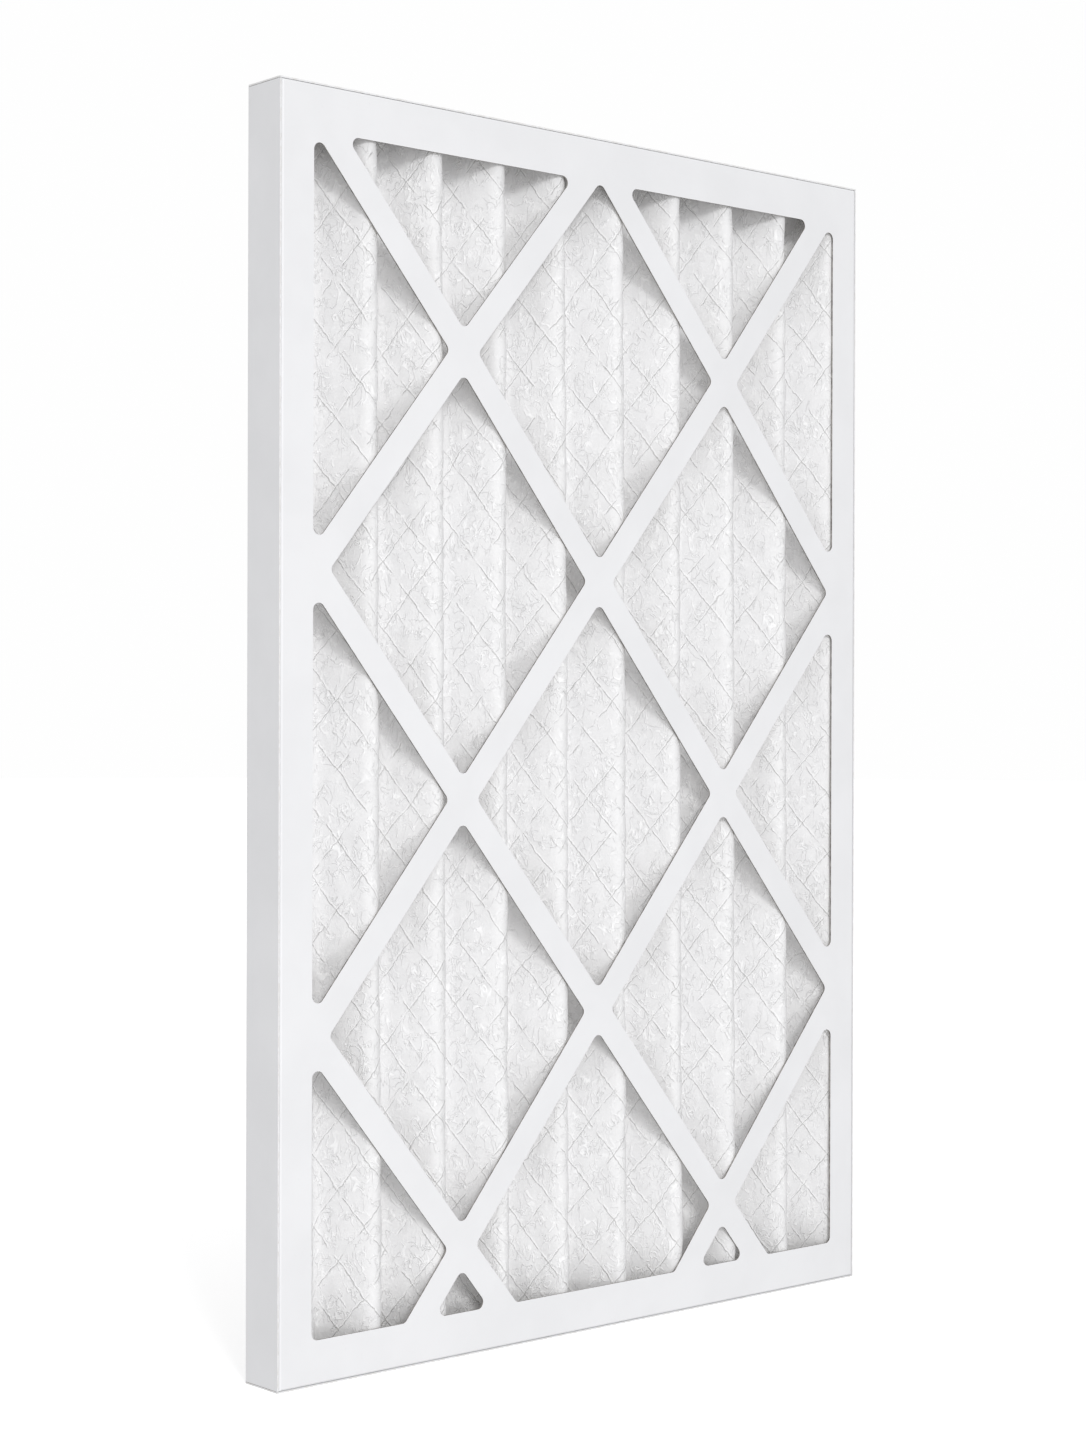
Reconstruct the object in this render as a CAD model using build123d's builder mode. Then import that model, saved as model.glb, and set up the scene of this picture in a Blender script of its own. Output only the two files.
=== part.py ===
from build123d import *
import math
import os

# Pleated panel air filter, standing upright, in millimetres.
# +X is across the filter, +Y runs from its front face to its back, and +Z is up.
# The origin is the middle of the bottom edge.

# Paperboard frame: two folded trays, the front one nested inside the back one
frame_width = 402.0
frame_height = 622.0
frame_depth = 27.2
board = 0.8
fold_radius = 1.2
nest_gap = 0.1
edge_setback = 0.4
corner_slit = 0.2

# Die-cut grille of each face
side_rail = 19.5
top_rail = 23.0
bottom_rail = 22.0
strap_width = 14.0
window_radius = 3.5
lattice_columns = 4
lattice_rows = 6
side_crossing_inset = 17.4
second_crossing_drop = 119.8
foot_crossing_height = 54.8
left_corner_rise = 107.0
top_middle_rise = 108.0
right_corner_rise = 116.5
lattice_shift = 3.0

# Pleated media, and the metal mesh bonded to its back
pleat_pitch = 41.0
pleat_radius = 5.0
first_crest = 9.8
media_thickness = 2.0
mesh_thickness = 0.4
bond_gap = 0.1
crest_gap = 0.3
diamond_width = 19.0
diamond_height = 92.0
diamond_bridge = 8.0

# Adhesive round the edge of the pleats
glue_bed = 0.8
glue_strip = 0.6
glue_margin = 0.2
wall_end_gap = 0.3

# Derived places in the frame
front_face = -frame_depth / 2
back_face = frame_depth / 2
wall_lap = board + nest_gap
inner_width = frame_width - 2 * wall_lap
inner_height = frame_height - 2 * wall_lap
inside_front = front_face + board
inside_back = back_face - board
inside_half_width = inner_width / 2 - board
inside_floor = wall_lap + board
inside_ceiling = frame_height - inside_floor
inner_fold_radius = fold_radius - board

# Derived lattice of the grille, measured on a face from its bottom middle
opening_width = frame_width - 2 * side_rail
opening_height = frame_height - top_rail - bottom_rail
column_pitch = (frame_width - 2 * side_crossing_inset) / lattice_columns
second_crossing_height = frame_height - second_crossing_drop
row_pitch = (second_crossing_height - foot_crossing_height) / (lattice_rows - 2)
top_rises = {0: left_corner_rise, lattice_columns // 2: top_middle_rise, lattice_columns: right_corner_rise}

# Derived pleat profile, as the middle line of the media
media_front = inside_front + crest_gap + media_thickness / 2
mesh_offset = media_thickness / 2 + bond_gap + mesh_thickness / 2
media_back = inside_back - crest_gap - mesh_thickness / 2 - mesh_offset
fold_span = media_back - media_front - 2 * pleat_radius
fold_distance = math.hypot(pleat_pitch / 2, fold_span)
flank_angle = math.atan2(pleat_pitch / 2, fold_span) - math.asin(2 * pleat_radius / fold_distance)
fold_overshoot = pleat_radius / math.sin(flank_angle) - pleat_radius
first_crest_x = first_crest - inside_half_width
crest_count = math.floor((2 * inside_half_width - first_crest) / pleat_pitch) + 1
pack_half_width = inside_half_width - glue_strip - bond_gap
pack_floor = inside_floor + glue_bed + bond_gap
pack_height = frame_height - 2 * pack_floor

# The two faces as seen from outside: x to the right, y up from the bottom edge
front_plane = Plane(origin=(0, front_face, 0), x_dir=(1, 0, 0), z_dir=(0, -1, 0))
back_plane = Plane(origin=(0, back_face, 0), x_dir=(-1, 0, 0), z_dir=(0, 1, 0))


def crossing(column, row):
    """The point of a face where the middle lines of two straps meet."""
    if row == 0:
        height = second_crossing_height + top_rises[column]
    else:
        height = second_crossing_height - (row - 1) * row_pitch
    across = (column - lattice_columns / 2) * column_pitch + lattice_shift
    return Vector(across, height)


def strap_line(column, row, step):
    """The crossings along one strap from its upper end, with both ends carried on into the rails."""
    points = []
    while 0 <= column <= lattice_columns and row <= lattice_rows:
        points.append(crossing(column, row))
        column += step
        row += 1
    head = points[0] + (points[0] - points[1]).normalized() * strap_width
    foot = points[-1] + (points[-1] - points[-2]).normalized() * strap_width
    return [head, *points, foot]


def face_windows(face_plane):
    """The windows left between the rails and the diagonal straps of one face."""
    middle = lattice_columns // 2
    side_starts = range(0, lattice_rows, 2)
    straps = [strap_line(middle, 0, 1), strap_line(middle, 0, -1)]
    straps += [strap_line(0, row, 1) for row in side_starts]
    straps += [strap_line(lattice_columns, row, -1) for row in side_starts]
    with BuildSketch(face_plane) as windows:
        with Locations((0, bottom_rail + opening_height / 2)):
            Rectangle(opening_width, opening_height)
        for points in straps:
            with BuildLine():
                Polyline(*points)
            trace(line_width=strap_width, mode=Mode.SUBTRACT)
        offset(amount=-window_radius, kind=Kind.INTERSECTION, mode=Mode.REPLACE)
        offset(amount=window_radius, kind=Kind.ARC, mode=Mode.REPLACE)
    return windows.sketch


def pleat_section(shift, thickness):
    """Section of a pleated sheet, shifted towards the back from the media's middle line."""
    vertex_shift = shift / math.sin(flank_angle)
    front_vertex = media_front - fold_overshoot + vertex_shift
    back_vertex = media_back + fold_overshoot + vertex_shift
    points = []
    radii = []
    for index in range(-1, crest_count + 1):
        crest_x = first_crest_x + index * pleat_pitch
        points.append((crest_x - pleat_pitch / 2, back_vertex))
        radii.append(pleat_radius + shift)
        points.append((crest_x, front_vertex))
        radii.append(pleat_radius - shift)
    with BuildSketch(Plane.XY.offset(pack_floor)) as section:
        with BuildLine():
            FilletPolyline(*points, radius=radii[1:-1])
        trace(line_width=thickness)
        Rectangle(2 * pack_half_width, frame_depth, mode=Mode.INTERSECT)
    return section.sketch


def fold_tray(face_plane, width, height, walls):
    """Adds one tray to the part in hand: a face with four walls folded up, the side walls slit from the others."""
    middle = Plane(
        face_plane.origin + face_plane.y_dir * frame_height / 2, x_dir=face_plane.x_dir, z_dir=face_plane.z_dir
    )
    outward = Axis(middle.origin, middle.z_dir)
    with BuildSketch(middle) as outline:
        Rectangle(width, height)
    extrude(outline.sketch, amount=-walls)
    fillet(faces().sort_by(outward)[-1].edges(), radius=fold_radius)
    offset(amount=-board, openings=faces().sort_by(outward)[0])
    with BuildSketch(middle.offset(-fold_radius)) as slits:
        with GridLocations(width - board, height - 2 * board - corner_slit, 2, 2):
            Rectangle(2 * board, corner_slit)
    extrude(slits.sketch, amount=-walls, mode=Mode.SUBTRACT)
    extrude(face_windows(face_plane), amount=2 * board, both=True, mode=Mode.SUBTRACT)


def flank_planes():
    """Planes in the media's flanks from the first crest to the last, x down the slope and z to the back."""
    planes = []
    middle_y = (media_front + media_back) / 2
    middle_z = pack_floor + pack_height / 2
    for index in range(crest_count - 1):
        for quarter, lean in ((1, 1), (3, -1)):
            middle_x = first_crest_x + (index + quarter / 4) * pleat_pitch
            slope = Vector(lean * math.sin(flank_angle), math.cos(flank_angle), 0)
            normal = Vector(-lean * math.cos(flank_angle), math.sin(flank_angle), 0)
            planes.append(Plane((middle_x, middle_y, middle_z), x_dir=slope, z_dir=normal))
    return planes


# Front tray: the face with the windows, and four walls folded back inside the back tray's walls
with BuildPart() as front_tray:
    fold_tray(front_plane, inner_width, inner_height, inside_back - wall_end_gap - front_face)

# Back tray: the same windows, and four walls folded forward round the front tray
with BuildPart() as back_tray:
    fold_tray(back_plane, frame_width, frame_height, frame_depth - edge_setback)

# Pleated media: one folded sheet, cut off where it meets the glue on the side walls
with BuildPart() as pleated_media:
    extrude(pleat_section(0, media_thickness), amount=pack_height)

# Support mesh: a metal sheet folded with the media against its back, with diamond openings in its flanks
with BuildPart() as support_mesh:
    extrude(pleat_section(mesh_offset, mesh_thickness), amount=pack_height)
    diamond_pitch = diamond_height + diamond_bridge
    diamond_count = math.floor(pack_height / diamond_pitch)
    cut_planes = [plane.offset(mesh_offset - mesh_thickness) for plane in flank_planes()]
    with BuildSketch(*cut_planes):
        with GridLocations(diamond_width, diamond_pitch, 1, diamond_count):
            Polygon(
                (-diamond_width / 2, 0),
                (0, -diamond_height / 2),
                (diamond_width / 2, 0),
                (0, diamond_height / 2),
            )
    extrude(amount=2 * mesh_thickness, mode=Mode.SUBTRACT)

# Glue beds: the layers of adhesive that the ends of the pleats are set in
bed_width = 2 * (inside_half_width - glue_margin)
bed_depth = inside_back - inside_front - 2 * (inner_fold_radius + glue_margin)
with BuildPart() as bottom_glue_bed:
    with BuildSketch(Plane.XY.offset(inside_floor)):
        Rectangle(bed_width, bed_depth)
    extrude(amount=glue_bed)

with BuildPart() as top_glue_bed:
    with BuildSketch(Plane.XY.offset(inside_ceiling)):
        Rectangle(bed_width, bed_depth)
    extrude(amount=-glue_bed)

# Glue strips: the layers that hold the two side edges of the sheet to the walls
strip_x = inside_half_width - glue_strip / 2
with BuildPart() as left_glue_strip:
    with BuildSketch(Plane.XY.offset(pack_floor)):
        with Locations((-strip_x, 0)):
            Rectangle(glue_strip, bed_depth)
    extrude(amount=pack_height)

with BuildPart() as right_glue_strip:
    with BuildSketch(Plane.XY.offset(pack_floor)):
        with Locations((strip_x, 0)):
            Rectangle(glue_strip, bed_depth)
    extrude(amount=pack_height)

# Write each piece to its own file
pieces = {
    "front_tray": front_tray,
    "back_tray": back_tray,
    "pleated_media": pleated_media,
    "support_mesh": support_mesh,
    "bottom_glue_bed": bottom_glue_bed,
    "top_glue_bed": top_glue_bed,
    "left_glue_strip": left_glue_strip,
    "right_glue_strip": right_glue_strip,
}
os.makedirs("parts", exist_ok=True)
for name, piece in pieces.items():
    piece.part.label = name
    export_step(piece.part, f"parts/{name}.step")
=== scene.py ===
"""Pleated panel air filter: its finishes, fibrous media and metal mesh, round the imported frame.

Everything is in metres in the frame's own axes: +X across the filter, +Y from its front face to
its back, and +Z up from the middle of its bottom edge.
"""

import logging
import math
from dataclasses import dataclass, field
from enum import Enum
from typing import Callable

import bmesh
import bpy
import numpy as np
from mathutils import Matrix, Vector, noise


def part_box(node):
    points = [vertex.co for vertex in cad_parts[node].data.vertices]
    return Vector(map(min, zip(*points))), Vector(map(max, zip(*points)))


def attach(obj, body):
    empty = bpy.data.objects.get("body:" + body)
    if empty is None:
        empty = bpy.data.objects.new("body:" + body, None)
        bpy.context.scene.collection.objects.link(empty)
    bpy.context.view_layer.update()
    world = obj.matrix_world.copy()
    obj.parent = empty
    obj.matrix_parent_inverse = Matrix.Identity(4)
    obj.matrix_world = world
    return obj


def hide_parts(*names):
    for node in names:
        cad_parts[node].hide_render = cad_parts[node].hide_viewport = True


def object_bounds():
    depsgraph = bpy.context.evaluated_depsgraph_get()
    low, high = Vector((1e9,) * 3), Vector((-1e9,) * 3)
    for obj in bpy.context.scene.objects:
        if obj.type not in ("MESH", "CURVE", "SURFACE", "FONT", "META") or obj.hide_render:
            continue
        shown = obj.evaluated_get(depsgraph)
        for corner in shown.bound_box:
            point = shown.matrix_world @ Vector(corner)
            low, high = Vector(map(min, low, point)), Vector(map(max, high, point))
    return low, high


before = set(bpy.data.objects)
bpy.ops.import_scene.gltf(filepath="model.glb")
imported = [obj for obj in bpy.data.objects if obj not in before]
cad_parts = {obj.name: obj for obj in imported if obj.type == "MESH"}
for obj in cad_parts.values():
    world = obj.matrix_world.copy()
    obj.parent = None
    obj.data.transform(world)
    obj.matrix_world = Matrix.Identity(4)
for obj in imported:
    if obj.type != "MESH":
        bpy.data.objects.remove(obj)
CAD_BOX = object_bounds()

log = logging.getLogger("air_filter")
MM = 0.001
Colour = tuple[float, float, float]
Socket = bpy.types.NodeSocket
Sockets = tuple[Socket, ...]


def shaded(colour: Colour, share: float) -> Colour:
    """A colour made darker or lighter, with no part over 1."""
    return tuple(min(part * share, 1.0) for part in colour)


class Body(Enum):
    """The body of the frame that a piece rides on."""

    ROOT = "root"


class Slot(Enum):
    """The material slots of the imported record."""

    BOARD = "board"
    MEDIA = "media"
    MESH = "mesh"
    ADHESIVE = "adhesive"


class FaceSide(Enum):
    """Which way the face of a tray looks along Y."""

    FRONT = -1.0
    BACK = 1.0


# ---------------------------------------------------------------------------------------------
# Shader graphs
# ---------------------------------------------------------------------------------------------


class Graph:
    """A material's node tree, with one short method for each kind of step."""

    def __init__(self, name: str) -> None:
        """Makes the material and finds its shader.

        Args:
            name: the material's name.
        """
        self.material = bpy.data.materials.new(name)
        self.material.use_nodes = True
        self.tree = self.material.node_tree
        self.shader = self.tree.nodes["Principled BSDF"]

    def node(self, kind: str, **settings: object) -> bpy.types.Node:
        """Adds a node.

        Args:
            kind: the node's type name without its ShaderNode prefix.
            settings: properties to set on it.

        Returns:
            The new node.
        """
        made = self.tree.nodes.new(f"ShaderNode{kind}")
        for name, value in settings.items():
            setattr(made, name, value)
        return made

    def feed(self, socket: Socket, value: object) -> None:
        """Links a socket to another, or sets its value.

        Args:
            socket: the input to feed.
            value: an output socket, a number or a sequence of numbers.
        """
        if isinstance(value, Socket):
            self.tree.links.new(value, socket)
        else:
            socket.default_value = value

    def math(self, operation: str, *values: object) -> Socket:
        """Adds a Math node.

        Args:
            operation: its operation.
            values: what goes into it, in order.

        Returns:
            Its output.
        """
        made = self.node("Math", operation=operation)
        for socket, value in zip(made.inputs, values):
            self.feed(socket, value)
        return made.outputs[0]

    def vector(self, operation: str, *values: object) -> Socket:
        """Adds a Vector Math node.

        Args:
            operation: its operation.
            values: what goes into it, in order.

        Returns:
            Its vector output, or its value where the operation gives a number.
        """
        made = self.node("VectorMath", operation=operation)
        for socket, value in zip(made.inputs, values):
            self.feed(socket, value)
        return made.outputs["Value" if operation == "DOT_PRODUCT" else "Vector"]

    def split(self, value: object) -> Sockets:
        """The x, y and z of a vector output."""
        made = self.node("SeparateXYZ")
        self.feed(made.inputs[0], value)
        return tuple(made.outputs)

    def ramp(self, value: object, low: float, high: object, to_low: float = 0.0,
             to_high: float = 1.0, smooth: bool = True) -> Socket:
        """Maps a range of a value to another range, held at its ends.

        Args:
            value: what to map.
            low: where the range starts.
            high: where it ends.
            to_low: the result at the start.
            to_high: the result at the end.
            smooth: whether the step between them is eased.

        Returns:
            The mapped value.
        """
        made = self.node("MapRange", interpolation_type="SMOOTHSTEP" if smooth else "LINEAR")
        for socket, part in zip(made.inputs, (value, low, high, to_low, to_high)):
            self.feed(socket, part)
        return made.outputs[0]

    def noise_node(self, place: object, size: float, detail: float = 2.0, roughness: float = 0.5,
                   distortion: float = 0.0) -> bpy.types.Node:
        """Adds a Noise Texture.

        Args:
            place: the coordinates.
            size: the size of its cells, in metres.
            detail: octaves.
            roughness: the weight of each finer octave.
            distortion: how far it is warped.

        Returns:
            The new node.
        """
        made = self.node("TexNoise")
        settings = {"Vector": place, "Scale": 1 / size, "Detail": detail, "Roughness": roughness,
                    "Distortion": distortion}
        for name, value in settings.items():
            self.feed(made.inputs[name], value)
        return made

    def noise(self, place: object, size: float, **settings: float) -> Socket:
        """The value of a Noise Texture, about 0.5 on average."""
        return self.noise_node(place, size, **settings).outputs[0]

    def noises(self, place: object, size: float, **settings: float) -> Sockets:
        """Three unlike values of one Noise Texture."""
        return self.split(self.noise_node(place, size, **settings).outputs["Color"])

    def mix(self, share: object, first: object, second: object) -> Socket:
        """Mixes two colours.

        Args:
            share: how much of the second, from 0 to 1.
            first: a colour or a colour output.
            second: a colour or a colour output.

        Returns:
            The mixed colour.
        """
        made = self.node("Mix", data_type="RGBA")
        self.feed(made.inputs[0], share)
        for socket, value in ((made.inputs[6], first), (made.inputs[7], second)):
            self.feed(socket, (*value, 1.0) if isinstance(value, tuple) else value)
        return made.outputs[2]

    def bump(self, height: object, distance: float, under: Socket | None = None) -> Socket:
        """Adds a Bump node.

        Args:
            height: the height, from 0 to 1.
            distance: how deep 1 is, in metres.
            under: a normal that it adds to.

        Returns:
            The bent normal.
        """
        made = self.node("Bump")
        self.feed(made.inputs["Height"], height)
        self.feed(made.inputs["Distance"], distance)
        if under is not None:
            self.feed(made.inputs["Normal"], under)
        return made.outputs[0]

    def finish(self, **inputs: object) -> bpy.types.Material:
        """Feeds the shader's own sockets.

        Args:
            inputs: socket names, with underscores for spaces, and what they get.

        Returns:
            The finished material.
        """
        for name, value in inputs.items():
            socket = self.shader.inputs[name.replace("_", " ")]
            colour = isinstance(value, tuple) and socket.type == "RGBA"
            self.feed(socket, (*value, 1.0) if colour else value)
        return self.material


@dataclass(frozen=True)
class BoardFinish:
    """Coated white paperboard: greyish raw cut edges, darkened on the windows' edges with painted
    shade of the gap behind the board, and an uncoated brownish inside.
    """

    side: FaceSide
    half_width: float
    half_height: float
    board: float = 0.8 * MM
    fold_zone: float = 2.0 * MM
    fold_ease: float = 0.5 * MM
    inside_reach: float = 11.5 * MM
    coat: Colour = (0.765, 0.767, 0.781)
    raw_edge: Colour = (0.36, 0.34, 0.32)
    # the darker cut-edge colour: the raw board core, made darker still with painted shade of the
    # gap behind the board
    raw_core_and_gap_shade: Colour = (0.16, 0.147, 0.135)
    wall_end: Colour = (0.77, 0.77, 0.78)
    wall_end_dark: Colour = (0.70, 0.69, 0.68)
    inside: Colour = (0.50, 0.465, 0.42)
    cloud_size: float = 45.0 * MM
    cloud_shades: tuple[float, float] = (0.975, 1.012)
    speck_size: float = 1.6 * MM
    speck_shade: float = 0.9
    speck_share: float = 0.25
    mottle_size: float = 2.2 * MM
    mottle_shade: float = 0.82
    streak_size: float = 3.5 * MM
    fibre_size: float = 0.9 * MM
    fibre_depth: float = 0.05 * MM
    coat_fibres: float = 0.12
    raw_fibres: float = 0.9
    ripple_size: float = 26.0 * MM
    ripple_depth: float = 0.25 * MM
    coat_roughness: float = 0.55
    raw_roughness: float = 0.95
    shine: float = 0.35

    def build(self, name: str) -> bpy.types.Material:
        """Makes the finish for one tray.

        Args:
            name: the material's name.

        Returns:
            The material.
        """
        graph = Graph(name)
        place = graph.node("TexCoord").outputs["Object"]
        normal = graph.node("NewGeometry").outputs["True Normal"]
        cut, ends = self.cut_masks(graph, place, normal)
        inward = self.inward_mask(graph, place, normal)
        colour = graph.mix(inward, self.coat_colour(graph, place), self.inside_colour(graph, place))
        # the windows' cut edges: raw core, with painted shade of the gap behind the board in their
        # darker streaks
        raw = self.edge_colour(graph, place, self.raw_core_and_gap_shade, self.raw_edge)
        colour = graph.mix(cut, colour, raw)
        end = self.edge_colour(graph, place, self.wall_end_dark, self.wall_end)
        colour = graph.mix(ends, colour, end)
        uncoated = graph.math("MAXIMUM", graph.math("MAXIMUM", cut, ends), inward)
        fibres = graph.noise(place, self.fibre_size, detail=4.0, roughness=0.65)
        ripple = graph.noise(place, self.ripple_size, detail=1.0)
        bent = graph.bump(ripple, self.ripple_depth)
        share = graph.ramp(uncoated, 0.0, 1.0, self.coat_fibres, self.raw_fibres, smooth=False)
        bent = graph.bump(graph.math("MULTIPLY", fibres, share), self.fibre_depth, under=bent)
        roughness = graph.ramp(uncoated, 0.0, 1.0, self.coat_roughness, self.raw_roughness,
                               smooth=False)
        return graph.finish(Base_Color=colour, Roughness=roughness, Normal=bent,
                            Specular_IOR_Level=self.shine)

    def cut_masks(self, graph: Graph, place: object, normal: object) -> tuple[Socket, Socket]:
        """Where the board is cut through: the windows' edges, and the ends of the walls.

        Args:
            graph: the material.
            place: the point in the frame.
            normal: the surface's direction.

        Returns:
            1 on the windows' edges and 0 elsewhere, and the same for the walls' ends.
        """
        across, _, up = graph.split(place)
        normal_x, normal_y, _ = graph.split(normal)
        from_middle = graph.math("ABSOLUTE", graph.math("SUBTRACT", up, self.half_height))
        out_x = graph.math("ABSOLUTE", across)
        edge_on = graph.math("LESS_THAN", graph.math("ABSOLUTE", normal_y), 0.5)
        within_x = graph.math("LESS_THAN", out_x, self.half_width - self.fold_zone)
        within_z = graph.math("LESS_THAN", from_middle,
                              self.half_height - self.fold_zone - self.fold_ease)
        window = graph.math("MULTIPLY", edge_on, graph.math("MULTIPLY", within_x, within_z))
        facing = graph.math("MULTIPLY", normal_y, -self.side.value)
        wall_end = graph.math("MULTIPLY", graph.math("GREATER_THAN", facing, 0.5),
                              graph.math("GREATER_THAN", self.ahead(graph, place), 0.0))
        beside = graph.math("GREATER_THAN", graph.math("ABSOLUTE", normal_x), 0.5)
        above = graph.math("GREATER_THAN", from_middle, self.half_height - self.board)
        lap_end = graph.math("MULTIPLY", beside, above)
        return window, graph.math("MAXIMUM", wall_end, lap_end)

    def ahead(self, graph: Graph, place: object) -> Socket:
        """How far a point lies from the frame's middle towards the ends of this tray's walls."""
        return graph.math("MULTIPLY", graph.split(place)[1], -self.side.value)

    def inward_mask(self, graph: Graph, place: object, normal: object) -> Socket:
        """1 where the surface looks into the tray, and 0 outside and by the walls' ends."""
        from_centre = graph.vector("SUBTRACT", place, (0.0, 0.0, self.half_height))
        outwards = graph.vector("DOT_PRODUCT", from_centre, normal)
        hidden = graph.math("LESS_THAN", self.ahead(graph, place), self.inside_reach)
        return graph.math("MULTIPLY", graph.math("LESS_THAN", outwards, 0.0), hidden)

    def coat_colour(self, graph: Graph, place: object) -> Socket:
        """The white coat, with faint clouds and a few grey fibres."""
        clouds = graph.noise(place, self.cloud_size, detail=3.0, roughness=0.6)
        dim, bright = (shaded(self.coat, share) for share in self.cloud_shades)
        shade = graph.mix(graph.ramp(clouds, 0.3, 0.7), dim, bright)
        specks = graph.noise(place, self.speck_size)
        return graph.mix(graph.ramp(specks, 0.66, 0.8, 0.0, self.speck_share), shade,
                         shaded(self.coat, self.speck_shade))

    def inside_colour(self, graph: Graph, place: object) -> Socket:
        """The uncoated side, mottled with recycled fibre."""
        fibres = graph.noise(place, self.mottle_size, detail=4.0, roughness=0.7)
        return graph.mix(graph.ramp(fibres, 0.3, 0.7), shaded(self.inside, self.mottle_shade),
                         self.inside)

    def edge_colour(self, graph: Graph, place: object, dark: Colour, pale: Colour) -> Socket:
        """A cut edge, paler and darker by turns as the knife left it; on the windows' edges the
        darker colour also holds painted shade of the gap behind the board.
        """
        streaks = graph.noise(place, self.streak_size, detail=3.0, roughness=0.65)
        return graph.mix(graph.ramp(streaks, 0.38, 0.62), dark, pale)


@dataclass(frozen=True)
class CreaseFamily:
    """One set of slanting creases in the media.

    Its lean is 1 where they fall to the right and -1 where they rise. Its offset places them
    between the mesh's strands, from 0 to 1. Its gaps say how much of them is missing, and breaks
    which of the broad noises leaves it out.
    """

    lean: float
    offset: float
    gaps: float
    strength: float
    breaks: int


@dataclass(frozen=True)
class MediaFinish:
    """White nonwoven: crinkled fibres with painted highlight on their ridges, thin broken creases
    over the mesh's diamonds darkened with painted shade, and a painted glow for light through it.
    """

    length: float
    height: float
    crease_run: float
    crease_rise: float
    families: tuple[CreaseFamily, ...] = (
        CreaseFamily(1.0, 0.0, 0.36, 1.0, 0), CreaseFamily(-1.0, 0.0, 0.38, 0.95, 1),
        CreaseFamily(1.0, 0.5, 0.54, 0.7, 2), CreaseFamily(-1.0, 0.5, 0.56, 0.5, 0))
    gap_edge: float = 0.12
    crease_width: float = 0.5 * MM
    thinnest: float = 0.3
    crease_depth: float = 0.17 * MM
    lip_width: float = 1.3
    lip_share: float = 0.8
    white: Colour = (0.70, 0.698, 0.705)
    # painted highlight: the colour that the crinkles' ridges and the creases' lips are lifted to;
    # it also lightens some fine fibres at random
    ridge: Colour = (0.88, 0.88, 0.885)
    # painted shade: the colour that the creases' grooves are darkened to, besides their bump
    crease_shade: Colour = (0.33, 0.325, 0.315)
    patch_shade: float = 0.96
    fibre_share: float = 0.18
    ridge_highlight_share: float = 0.6
    crease_shade_share: float = 0.6
    # painted light: the sheet glows as if lit through from behind, though it is no lamp
    painted_glow: float = 0.085
    glow_colour: Colour = (1.0, 0.995, 0.99)
    glow_least: float = 0.15
    glow_zone: tuple[float, float] = (12.0 * MM, 40.0 * MM)
    patch_size: float = 10.0 * MM
    crimp_size: float = 3.0 * MM
    sway_size: float = 18.0 * MM
    sway: float = 3.6 * MM
    jog: float = 1.6 * MM
    curl_sizes: tuple[float, float] = (9.0 * MM, 5.5 * MM)
    curl_seeds: tuple[float, float] = (0.0, 0.4)
    curl_stretch: tuple[float, float, float] = (1.25, 0.8, 1.0)
    curl_width: float = 0.034
    curl_height: float = 0.26 * MM
    billow_size: float = 9.0 * MM
    billow: float = 0.4 * MM
    fibre_size: float = 1.0 * MM
    nap: float = 0.08 * MM
    roughness: float = 0.9
    shine: float = 0.2

    def build(self, name: str) -> bpy.types.Material:
        """Makes the finish in the sheet's own flat coordinates.

        Args:
            name: the material's name.

        Returns:
            The material.
        """
        graph = Graph(name)
        flat = graph.node("UVMap", uv_map="flat").outputs[0]
        flat = graph.vector("MULTIPLY", flat, (self.length, self.height, 0.0))
        broad = graph.noises(flat, self.patch_size, detail=3.0)
        fine = graph.noises(flat, self.crimp_size)
        grooves, lips = self.creases(graph, self.sway_aside(graph, flat), broad, fine)
        curls = [self.crinkle(graph, flat, size, seed, patches)
                 for size, seed, patches in zip(self.curl_sizes, self.curl_seeds, broad[1:])]
        ridges = graph.math("MAXIMUM", graph.math("MAXIMUM", *curls), lips)
        fibres = graph.noise(flat, self.fibre_size, detail=3.0, roughness=0.7, distortion=1.0)
        colour = graph.mix(graph.ramp(broad[0], 0.3, 0.7), shaded(self.white, self.patch_shade),
                           self.white)
        light_fibres = graph.ramp(fibres, 0.4, 0.75, 0.0, self.fibre_share)
        colour = graph.mix(light_fibres, colour, self.ridge)
        # painted highlight on the crinkles' ridges and the creases' lips
        colour = graph.mix(graph.math("MULTIPLY", ridges, self.ridge_highlight_share), colour, self.ridge)
        # painted shade in the crease grooves
        colour = graph.mix(graph.math("MULTIPLY", grooves, self.crease_shade_share), colour, self.crease_shade)
        billows = graph.noise(flat, self.billow_size, detail=1.0, distortion=0.5)
        relief = graph.math("MULTIPLY", billows, self.billow)
        for layer, height in ((fibres, self.nap), (ridges, self.curl_height),
                              (grooves, -self.crease_depth)):
            relief = graph.math("MULTIPLY_ADD", layer, height, relief)
        normal = graph.bump(graph.math("DIVIDE", relief, MM), MM)
        # the emission is a painted glow standing in for light through the sheet
        return graph.finish(Base_Color=colour, Roughness=self.roughness, Normal=normal,
                            Specular_IOR_Level=self.shine, Emission_Strength=self.painted_glow,
                            Emission_Color=self.painted_light_through(graph, flat))

    def sway_aside(self, graph: Graph, flat: object) -> Socket:
        """The flat coordinates, made to waver."""
        wave = graph.noise_node(flat, self.sway_size).outputs["Color"]
        wave = graph.vector("SUBTRACT", wave, (0.5, 0.5, 0.5))
        return graph.vector("MULTIPLY_ADD", wave, (self.sway, self.sway, 0.0), flat)

    def painted_light_through(self, graph: Graph, flat: object) -> Socket:
        """A painted glow for the little light that comes through from behind, and less before the
        back's rails.
        """
        up = graph.split(flat)[1]
        from_end = graph.math("MINIMUM", up, graph.math("SUBTRACT", self.height, up))
        share = graph.ramp(from_end, *self.glow_zone, self.glow_least, 1.0)
        return graph.mix(share, (0.0, 0.0, 0.0), self.glow_colour)

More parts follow.
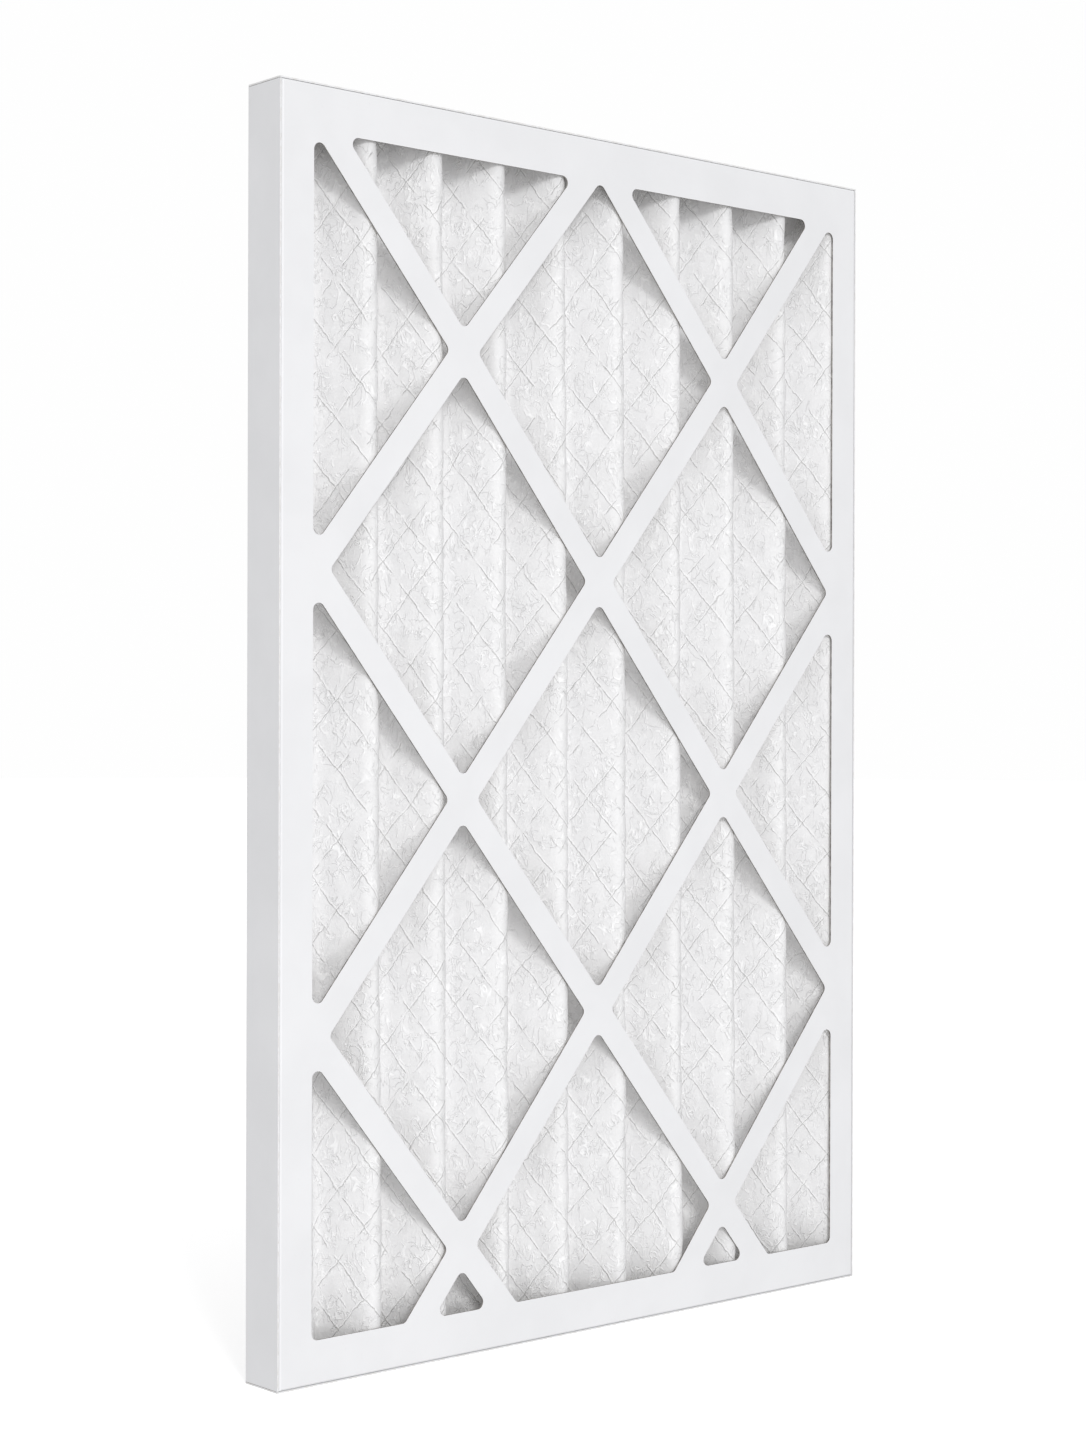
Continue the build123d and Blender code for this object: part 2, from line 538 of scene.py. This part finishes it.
    def creases(self, graph: Graph, bent: object, broad: Sockets,
                fine: Sockets) -> tuple[Socket, Socket]:
        """The creases over the mesh's strands, and weaker ones halfway between them.

        Args:
            graph: the material.
            bent: the wavering flat coordinates.
            broad: three broad noises, which break the creases up.
            fine: three fine noises, which make them thick and thin.

        Returns:
            The grooves, and the raised lips beside them.
        """
        grooves, lips = 0.0, 0.0
        for family in self.families:
            groove, lip = self.crease_line(graph, bent, fine, family)
            there = graph.ramp(broad[family.breaks], family.gaps, family.gaps + self.gap_edge,
                               0.0, family.strength)
            grooves = graph.math("MAXIMUM", grooves, graph.math("MULTIPLY", groove, there))
            lips = graph.math("MAXIMUM", lips, graph.math("MULTIPLY", lip, there))
        return grooves, lips

    def crease_line(self, graph: Graph, bent: object, fine: Sockets,
                    family: CreaseFamily) -> tuple[Socket, Socket]:
        """One family of slanting creases, unbroken.

        Args:
            graph: the material.
            bent: the wavering flat coordinates.
            fine: three fine noises.
            family: which creases they are.

        Returns:
            The groove, and the raised lip beside it.
        """
        along, up, _ = graph.split(bent)
        phase = graph.math("ADD", graph.math("MULTIPLY", along, family.lean / self.crease_run),
                           graph.math("MULTIPLY_ADD", up, 1 / self.crease_rise,
                                      0.5 + family.offset))
        cell = graph.math("SUBTRACT", graph.math("FRACT", phase), 0.5)
        spacing = 1 / math.hypot(1 / self.crease_run, 1 / self.crease_rise)
        jog = graph.math("MULTIPLY_ADD", fine[0], self.jog, -self.jog / 2)
        aside = graph.math("MULTIPLY_ADD", cell, spacing, jog)
        width = graph.ramp(fine[1 if family.lean > 0 else 2], 0.38, 0.62,
                           self.crease_width * self.thinnest, self.crease_width)
        groove = graph.ramp(graph.math("ABSOLUTE", aside), 0.0, width, 1.0, 0.0)
        lip_width = self.crease_width * self.lip_width
        beside = graph.math("ABSOLUTE", graph.math("SUBTRACT", aside, lip_width))
        return groove, graph.ramp(beside, 0.0, lip_width, self.lip_share, 0.0)

    def crinkle(self, graph: Graph, flat: object, size: float, seed: float,
                patches: Socket) -> Socket:
        """Short curling ridges of fibre.

        Args:
            graph: the material.
            flat: the flat coordinates.
            size: how far apart they curl.
            seed: sets one layer apart from another.
            patches: a noise that makes them faint in places.

        Returns:
            1 on a ridge and 0 between them.
        """
        place = graph.vector("MULTIPLY_ADD", flat, self.curl_stretch, (seed, seed, seed))
        level = graph.noise(place, size, roughness=0.55, distortion=0.7)
        from_ridge = graph.math("ABSOLUTE", graph.math("SUBTRACT", level, 0.5))
        ridge = graph.ramp(from_ridge, 0.0, self.curl_width, 1.0, 0.0)
        return graph.math("MULTIPLY", ridge, graph.ramp(patches, 0.4, 0.6, 0.2, 1.0))


@dataclass(frozen=True)
class MetalFinish:
    """Galvanised steel, dull and faintly spangled."""

    zinc: Colour = (0.56, 0.57, 0.58)
    dull: Colour = (0.40, 0.41, 0.42)
    spangle_size: float = 5.0 * MM
    scratch_size: float = 0.8 * MM
    scratch_depth: float = 0.04 * MM
    smoothest: float = 0.34
    roughest: float = 0.52

    def build(self, name: str) -> bpy.types.Material:
        """Makes the finish.

        Args:
            name: the material's name.

        Returns:
            The material.
        """
        graph = Graph(name)
        place = graph.node("TexCoord").outputs["Object"]
        spangle = graph.node("TexVoronoi", feature="F1")
        graph.feed(spangle.inputs["Vector"], place)
        graph.feed(spangle.inputs["Scale"], 1 / self.spangle_size)
        tone, _, _ = graph.split(spangle.outputs["Color"])
        colour = graph.mix(tone, self.zinc, self.dull)
        scratches = graph.noise(place, self.scratch_size, detail=3.0)
        roughness = graph.ramp(tone, 0.0, 1.0, self.smoothest, self.roughest, smooth=False)
        return graph.finish(Base_Color=colour, Metallic=1.0, Roughness=roughness,
                            Normal=graph.bump(scratches, self.scratch_depth))


@dataclass(frozen=True)
class GlueFinish:
    """Cream hot-melt adhesive, half shiny and uneven."""

    cream: Colour = (0.74, 0.70, 0.58)
    deep: Colour = (0.62, 0.55, 0.40)
    pool_size: float = 12.0 * MM
    ripple_size: float = 4.0 * MM
    ripple_depth: float = 0.3 * MM
    roughness: float = 0.38
    shine: float = 0.5

    def build(self, name: str) -> bpy.types.Material:
        """Makes the finish.

        Args:
            name: the material's name.

        Returns:
            The material.
        """
        graph = Graph(name)
        place = graph.node("TexCoord").outputs["Object"]
        pools = graph.noise(place, self.pool_size, detail=3.0)
        colour = graph.mix(graph.ramp(pools, 0.35, 0.65), self.cream, self.deep)
        ripples = graph.noise(place, self.ripple_size)
        return graph.finish(Base_Color=colour, Roughness=self.roughness,
                            Normal=graph.bump(ripples, self.ripple_depth),
                            Specular_IOR_Level=self.shine)


# ---------------------------------------------------------------------------------------------
# Pieces
# ---------------------------------------------------------------------------------------------


def make_piece(name: str, bm: bmesh.types.BMesh, material: bpy.types.Material,
               replaced: str, smooth: bool = True) -> bpy.types.Object:
    """Turns a finished bmesh into a piece that stands for a node of the frame.

    Args:
        name: the piece's name.
        bm: its mesh, which is freed.
        material: its finish.
        replaced: the node it stands for.
        smooth: whether its faces are shaded smooth.

    Returns:
        The piece's object.
    """
    for face in bm.faces:
        face.smooth = smooth
    mesh = bpy.data.meshes.new(name)
    bm.to_mesh(mesh)
    bm.free()
    piece = bpy.data.objects.new(name, mesh)
    bpy.context.scene.collection.objects.link(piece)
    mesh.materials.append(material)
    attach(piece, Body.ROOT.value)
    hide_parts(replaced)
    return piece


def thicken(piece: bpy.types.Object, thickness: float) -> None:
    """Gives a sheet its thickness, half of it on each side.

    Args:
        piece: the sheet.
        thickness: its thickness in metres.
    """
    solidify = piece.modifiers.new("thickness", "SOLIDIFY")
    solidify.thickness = thickness
    solidify.offset = 0.0
    solidify.use_even_offset = True


@dataclass
class PleatProfile:
    """The folded line of the media in plan, from its left end to its right end."""

    left: float
    right: float
    front: float
    back: float
    pitch: float = 41.0 * MM
    radius: float = 5.0 * MM
    first_crest: float = 14.2 * MM
    step: float = 0.2 * MM
    path: np.ndarray = field(init=False)
    starts_at: float = field(init=False)
    length: float = field(init=False)

    def __post_init__(self) -> None:
        """Walks the folded line in short steps and finds its length between the two ends."""
        self.path = self.walk()
        start, end = np.interp((self.left, self.right), self.path[:, 1], self.path[:, 0])
        self.starts_at = float(start)
        self.length = float(end - start)

    def walk(self) -> np.ndarray:
        """Follows the flanks and the rounded folds.

        Returns:
            Rows of distance along the line, x, y and heading, where a heading of 0 is along +X.
        """
        span = self.back - self.front - 2 * self.radius
        reach = math.hypot(self.pitch / 2, span)
        lean = math.atan2(self.pitch / 2, span) - math.asin(2 * self.radius / reach)
        flank = math.sqrt(reach**2 - 4 * self.radius**2)
        slope = math.pi / 2 - lean
        turn = 2 * slope * self.radius
        pleat = [(flank, -slope, -slope), (turn, -slope, slope),
                 (flank, slope, slope), (turn, slope, -slope)]
        pleats = math.ceil((self.right - self.left) / self.pitch) + 2
        rows, travelled = [], 0.0
        for length, head, tail in pleat * pleats:
            count = max(2, round(length / self.step))
            for index in range(count):
                heading = head + (tail - head) * (index + 0.5) / count
                rows.append((travelled + length * index / count, heading))
            travelled += length
        distance, heading = np.array(rows).T
        moves = np.diff(distance, append=travelled)
        x = np.concatenate(([0.0], np.cumsum(moves * np.cos(heading))[:-1]))
        y = np.concatenate(([0.0], np.cumsum(moves * np.sin(heading))[:-1]))
        first_front = flank + turn / 2
        x += self.left + self.first_crest - self.pitch - np.interp(first_front, distance, x)
        y += self.front - np.interp(first_front, distance, y)
        return np.column_stack([distance, x, y, heading])

    def place(self, along: np.ndarray, offset: np.ndarray | float) -> tuple[np.ndarray, np.ndarray]:
        """Where points of the flat sheet lie once it is folded.

        Args:
            along: distances from the left end of the sheet.
            offset: how far they stand off the folded line, towards the back.

        Returns:
            Their x and their y.
        """
        station = self.starts_at + along
        distance, x, y, heading = self.path.T
        turned = np.interp(station, distance, heading)
        return (np.interp(station, distance, x) - offset * np.sin(turned),
                np.interp(station, distance, y) + offset * np.cos(turned))


@dataclass
class PleatedMedia:
    """The pleated nonwoven sheet, and the expanded metal mesh that is bonded to its back."""

    thickness: float = 2.0 * MM
    columns: int = 286
    rows: int = 158
    lean: float = 2.5 * MM
    held_edge: float = 12.0 * MM
    sway: float = 0.7 * MM
    sway_cell: tuple[float, float] = (30.0 * MM, 150.0 * MM)
    pillow: float = 0.5 * MM
    wrinkle: float = 0.55 * MM
    wrinkle_cell: tuple[float, float] = (11.0 * MM, 26.0 * MM)
    crumple_cell: tuple[float, float] = (5.0 * MM, 9.0 * MM)
    crumple_share: float = 0.5
    inset: float = 0.32 * MM
    mesh_gap: float = 0.1 * MM
    mesh_thickness: float = 0.4 * MM
    strand: float = 1.1 * MM
    diamonds_up: int = 18
    diamonds_across: int = 23
    mesh_shift: tuple[float, float, float] = (0.25, 0.125, 0.0)

    def __post_init__(self) -> None:
        """Takes the sheet's place and height from its node, and fits whole diamonds to them."""
        low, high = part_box("pleated_media")
        self.floor = low.z
        self.height = high.z - low.z
        half = self.thickness / 2
        self.profile = PleatProfile(low.x, high.x, low.y + half, high.y - half)
        self.diamond_rise = self.height / self.diamonds_up
        self.diamond_run = self.profile.length / self.diamonds_across

    def unevenness(self, along: np.ndarray, up: np.ndarray, cell: tuple[float, float],
                   seed: float) -> np.ndarray:
        """Smooth noise over the flat sheet.

        Args:
            along: distances across the flat sheet.
            up: heights on it.
            cell: the width and height of the noise's cells.
            seed: sets one noise apart from another.

        Returns:
            A value from about -1 to 1 at each point.
        """
        return np.array([noise.noise(Vector((a / cell[0], b / cell[1], seed)))
                         for a, b in zip(along, up)])

    def fold(self, bm: bmesh.types.BMesh,
             offset: Callable[[np.ndarray, np.ndarray], np.ndarray]) -> None:
        """Folds a flat sheet in place.

        Args:
            bm: the sheet, flat, with x from 0 to its length and y from 0 to its height.
            offset: gives how far each point stands off the folded line.
        """
        flat = np.array([vert.co[:2] for vert in bm.verts])
        along, up = flat[:, 0], flat[:, 1]
        x, y = self.profile.place(along, offset(along, up))
        from_edge = np.minimum(x - self.profile.left, self.profile.right - x)
        free = np.clip(from_edge / self.held_edge, 0.0, 1.0)
        tilt = self.lean * (1 - 2 * up / self.height)
        sway = self.sway * self.unevenness(along, up, self.sway_cell, 5.0)
        x = np.clip(x + (tilt + sway) * free, self.profile.left, self.profile.right)
        for vert, across, depth, rise in zip(bm.verts, x, y, up + self.floor):
            vert.co = (across, depth, rise)

    def relief(self, along: np.ndarray, up: np.ndarray) -> np.ndarray:
        """The sheet's own unevenness: pillows between the creases, and soft wrinkles.

        Args:
            along: distances across the flat sheet.
            up: heights on it.

        Returns:
            How far each point stands off the folded line, towards the back.
        """
        falling = np.abs(np.sin(np.pi * (along / self.diamond_run + up / self.diamond_rise)))
        rising = np.abs(np.sin(np.pi * (-along / self.diamond_run + up / self.diamond_rise)))
        pillow = self.pillow * (1 - np.sqrt(falling * rising))
        wrinkles = self.unevenness(along, up, self.wrinkle_cell, 1.0)
        crumples = self.unevenness(along, up, self.crumple_cell, 2.0)
        folds = np.clip(wrinkles + self.crumple_share * crumples, -0.5, 1.0)
        return pillow + self.wrinkle * folds + self.inset

    def build_media(self, finish: bpy.types.Material) -> bpy.types.Object:
        """Args:
            finish: its material.

        Returns:
            The piece.
        """
        bm = bmesh.new()
        bm.loops.layers.uv.new("flat")
        bmesh.ops.create_grid(bm, x_segments=self.columns, y_segments=self.rows, size=0.5,
                              calc_uvs=True)
        bmesh.ops.translate(bm, verts=bm.verts, vec=(0.5, 0.5, 0.0))
        bmesh.ops.scale(bm, verts=bm.verts, vec=(self.profile.length, self.height, 1.0))
        self.fold(bm, self.relief)
        piece = make_piece("media_sheet", bm, finish, "pleated_media")
        thicken(piece, self.thickness)
        return piece

    def build_mesh(self, finish: bpy.types.Material) -> bpy.types.Object:
        """Cuts the metal mesh's diamonds in a flat sheet and folds it with the media.

        Args:
            finish: its material.

        Returns:
            The piece.
        """
        bm = bmesh.new()
        count = 2 * max(self.diamonds_across, self.diamonds_up)
        bmesh.ops.create_grid(bm, x_segments=2 * count, y_segments=2 * count,
                              size=count / math.sqrt(2))
        bmesh.ops.rotate(bm, verts=bm.verts, matrix=Matrix.Rotation(math.pi / 4, 3, "Z"))
        bmesh.ops.translate(bm, verts=bm.verts, vec=self.mesh_shift)
        bmesh.ops.scale(bm, verts=bm.verts, vec=(self.diamond_run, self.diamond_rise, 1.0))
        for point, away in (((0, 0, 0), (-1, 0, 0)), ((self.profile.length, 0, 0), (1, 0, 0)),
                            ((0, 0, 0), (0, -1, 0)), ((0, self.height, 0), (0, 1, 0))):
            bmesh.ops.bisect_plane(bm, geom=[*bm.verts, *bm.edges, *bm.faces], plane_co=point,
                                   plane_no=away, clear_outer=True)
        cells = list(bm.faces)
        bmesh.ops.inset_individual(bm, faces=cells, thickness=self.strand / 2,
                                   use_even_offset=True)
        bmesh.ops.delete(bm, geom=cells, context="FACES")
        long_edges = [edge for edge in bm.edges if edge.calc_length() > 3 * self.strand]
        bmesh.ops.subdivide_edges(bm, edges=long_edges, cuts=2, use_grid_fill=True)
        stand_off = self.thickness / 2 + self.mesh_gap + self.mesh_thickness / 2
        self.fold(bm, lambda along, up: np.full(len(along), stand_off))
        piece = make_piece("metal_mesh", bm, finish, "support_mesh", smooth=False)
        thicken(piece, self.mesh_thickness)
        return piece


@dataclass
class Adhesive:
    """The uneven layers of hot-melt that hold the pack's four edges in the frame."""

    cell: float = 4.0 * MM
    ripple: float = 9.0 * MM
    unevenness: float = 0.45

    def build(self, name: str, node: str, finish: bpy.types.Material) -> bpy.types.Object:
        """Pours one layer over the place of its node.

        Args:
            name: the piece's name.
            node: the node that it stands for.
            finish: its material.

        Returns:
            The piece.
        """
        low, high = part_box(node)
        size, middle = high - low, (low + high) / 2
        thin = min(range(3), key=lambda axis: size[axis])
        bm = bmesh.new()
        bmesh.ops.create_cube(bm, size=1.0)
        for axis in range(3):
            if axis != thin:
                self.divide(bm, axis, max(1, round(size[axis] / self.cell)))
        bmesh.ops.scale(bm, verts=bm.verts, vec=size)
        bmesh.ops.translate(bm, verts=bm.verts, vec=middle)
        free = 1.0 if middle[thin] < ((CAD_BOX[0] + CAD_BOX[1]) / 2)[thin] else -1.0
        for vert in bm.verts:
            if (vert.co[thin] - middle[thin]) * free > 0:
                dip = 0.5 + 0.5 * noise.noise(vert.co / self.ripple)
                vert.co[thin] -= free * size[thin] * self.unevenness * dip
        bmesh.ops.recalc_face_normals(bm, faces=bm.faces)
        return make_piece(name, bm, finish, node)

    def divide(self, bm: bmesh.types.BMesh, axis: int, count: int) -> None:
        """Cuts a unit cube into slices.

        Args:
            bm: the cube.
            axis: the axis that the cuts are square to.
            count: how many slices to make.
        """
        normal = [float(index == axis) for index in range(3)]
        for index in range(1, count):
            point = [(index / count - 0.5) * part for part in normal]
            bmesh.ops.bisect_plane(bm, geom=[*bm.verts, *bm.edges, *bm.faces], plane_co=point,
                                   plane_no=normal)


class BoardFrame:
    """The two nested trays of folded board. Their nodes keep their meshes and get a finish."""

    def dress(self, node: str, side: FaceSide) -> bpy.types.Object:
        """Gives one tray its finish.

        Args:
            node: the tray's node.
            side: which way its face looks.

        Returns:
            The tray's object.
        """
        low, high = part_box(node)
        finish = BoardFinish(side, (high.x - low.x) / 2, (low.z + high.z) / 2)
        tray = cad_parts[node]
        tray.data.materials.clear()
        tray.data.materials.append(finish.build(f"{node}_board"))
        return tray


# ---------------------------------------------------------------------------------------------
# Studio
# ---------------------------------------------------------------------------------------------


@dataclass(frozen=True)
class SoftLight:
    """A square light that looks at the middle of the filter and isn't seen itself."""

    name: str
    at: tuple[float, float, float]
    size: float
    power: float

    def hang(self, target: Vector) -> None:
        """Hangs the light.

        Args:
            target: the point that it looks at.
        """
        data = bpy.data.lights.new(self.name, "AREA")
        data.size = self.size
        data.energy = self.power
        light = bpy.data.objects.new(self.name, data)
        light.visible_camera = False
        bpy.context.scene.collection.objects.link(light)
        place = Vector(self.at)
        turned = (target - place).to_track_quat("-Z", "Y").to_matrix().to_4x4()
        light.matrix_world = Matrix.Translation(place) @ turned


@dataclass
class Studio:
    """The pale floor, the soft light and the camera."""

    camera_at: Vector = field(default_factory=lambda: Vector((-0.9226, -1.0277, 0.3205)))
    camera_forward: Vector = field(default_factory=lambda: Vector((0.65825, 0.75279, -0.00317)))
    camera_up: Vector = field(default_factory=lambda: Vector((0.00011, 0.00411, 0.99999)))
    lens: float = 65.315
    sensor: float = 36.0
    clip: tuple[float, float] = (0.05, 50.0)
    floor_size: float = 12.0
    floor_colour: Colour = (0.95, 0.95, 0.95)
    floor_glow: float = 0.4
    backdrop: Colour = (0.993, 0.993, 0.993)
    dim_side: Colour = (0.17, 0.17, 0.17)
    bright_side: Colour = (0.98, 0.98, 0.983)
    bright_towards: tuple[float, float, float] = (-0.68, -0.55, 0.485)
    lights_aim: Vector = field(default_factory=lambda: Vector((0.0, 0.0, 0.3)))
    lights: tuple[SoftLight, ...] = (SoftLight("key", (-2.3, -5.0, 2.5), 1.1, 112.0),
                                     SoftLight("fill", (-0.4, -1.1, 0.08), 0.3, 2.7))

    def build_camera(self) -> None:
        """Places the camera."""
        data = bpy.data.cameras.new("camera")
        data.lens = self.lens
        data.sensor_width = self.sensor
        data.clip_start, data.clip_end = self.clip
        camera = bpy.data.objects.new("camera", data)
        bpy.context.scene.collection.objects.link(camera)
        forward = self.camera_forward.normalized()
        right = forward.cross(self.camera_up).normalized()
        turned = Matrix((right, right.cross(forward), -forward)).transposed()
        camera.matrix_world = Matrix.Translation(self.camera_at) @ turned.to_4x4()
        bpy.context.scene.camera = camera

    def build_floor(self) -> None:
        """Lays a pale floor under the filter."""
        bm = bmesh.new()
        bmesh.ops.create_circle(bm, cap_ends=True, segments=96, radius=self.floor_size)
        mesh = bpy.data.meshes.new("floor")
        bm.to_mesh(mesh)
        bm.free()
        floor = bpy.data.objects.new("floor", mesh)
        bpy.context.scene.collection.objects.link(floor)
        finish = Graph("pale_floor").finish(
            Base_Color=self.floor_colour, Roughness=1.0, Specular_IOR_Level=0.0,
            Emission_Color=(1.0, 1.0, 1.0), Emission_Strength=self.floor_glow)
        mesh.materials.append(finish)
        floor.visible_diffuse = False

    def build_world(self) -> None:
        """Lights the room softly, most from its bright side, and shows it as plain white."""
        world = bpy.data.worlds.new("studio")
        world.use_nodes = True
        bpy.context.scene.world = world
        tree = world.node_tree
        tree.nodes.clear()
        heading, facing, share, sky, light, seen, rays, either, output = (
            tree.nodes.new(f"ShaderNode{kind}")
            for kind in ("TexCoord", "VectorMath", "MapRange", "Mix", "Background", "Background",
                         "LightPath", "MixShader", "OutputWorld"))
        facing.operation = "DOT_PRODUCT"
        facing.inputs[1].default_value = self.bright_towards
        share.inputs["From Min"].default_value = -1.0
        sky.data_type = "RGBA"
        sky.inputs[6].default_value = (*self.dim_side, 1.0)
        sky.inputs[7].default_value = (*self.bright_side, 1.0)
        seen.inputs[0].default_value = (*self.backdrop, 1.0)
        for start, end in ((heading.outputs["Generated"], facing.inputs[0]),
                           (facing.outputs["Value"], share.inputs[0]),
                           (share.outputs[0], sky.inputs[0]),
                           (sky.outputs[2], light.inputs[0]),
                           (rays.outputs["Is Camera Ray"], either.inputs[0]),
                           (light.outputs[0], either.inputs[1]),
                           (seen.outputs[0], either.inputs[2]),
                           (either.outputs[0], output.inputs[0])):
            tree.links.new(start, end)

    def build(self) -> None:
        """Builds the camera first, then the floor and the lights."""
        self.build_camera()
        self.build_floor()
        self.build_world()
        for light in self.lights:
            light.hang(self.lights_aim)
        bpy.context.scene.view_settings.view_transform = "Standard"


def main() -> None:
    """Builds the studio and each sub-assembly, and reports every piece."""
    logging.basicConfig(level=logging.INFO, format="%(name)s: %(message)s")
    Studio().build()
    board = BoardFrame()
    pieces = [board.dress("front_tray", FaceSide.FRONT), board.dress("back_tray", FaceSide.BACK)]
    glue = GlueFinish().build("hot_melt")
    adhesive = Adhesive()
    for place, node in (("bottom_glue", "bottom_glue_bed"), ("top_glue", "top_glue_bed"),
                        ("left_glue", "left_glue_strip"), ("right_glue", "right_glue_strip")):
        pieces.append(adhesive.build(place, node, glue))
    pack = PleatedMedia()
    fibre = MediaFinish(pack.profile.length, pack.height, pack.diamond_run, pack.diamond_rise)
    pieces.append(pack.build_media(fibre.build("nonwoven")))
    pieces.append(pack.build_mesh(MetalFinish().build("galvanised")))
    for piece in pieces:
        log.info("%s: %d faces", piece.name, len(piece.data.polygons))
    bpy.context.view_layer.update()


if __name__ == "__main__":
    main()
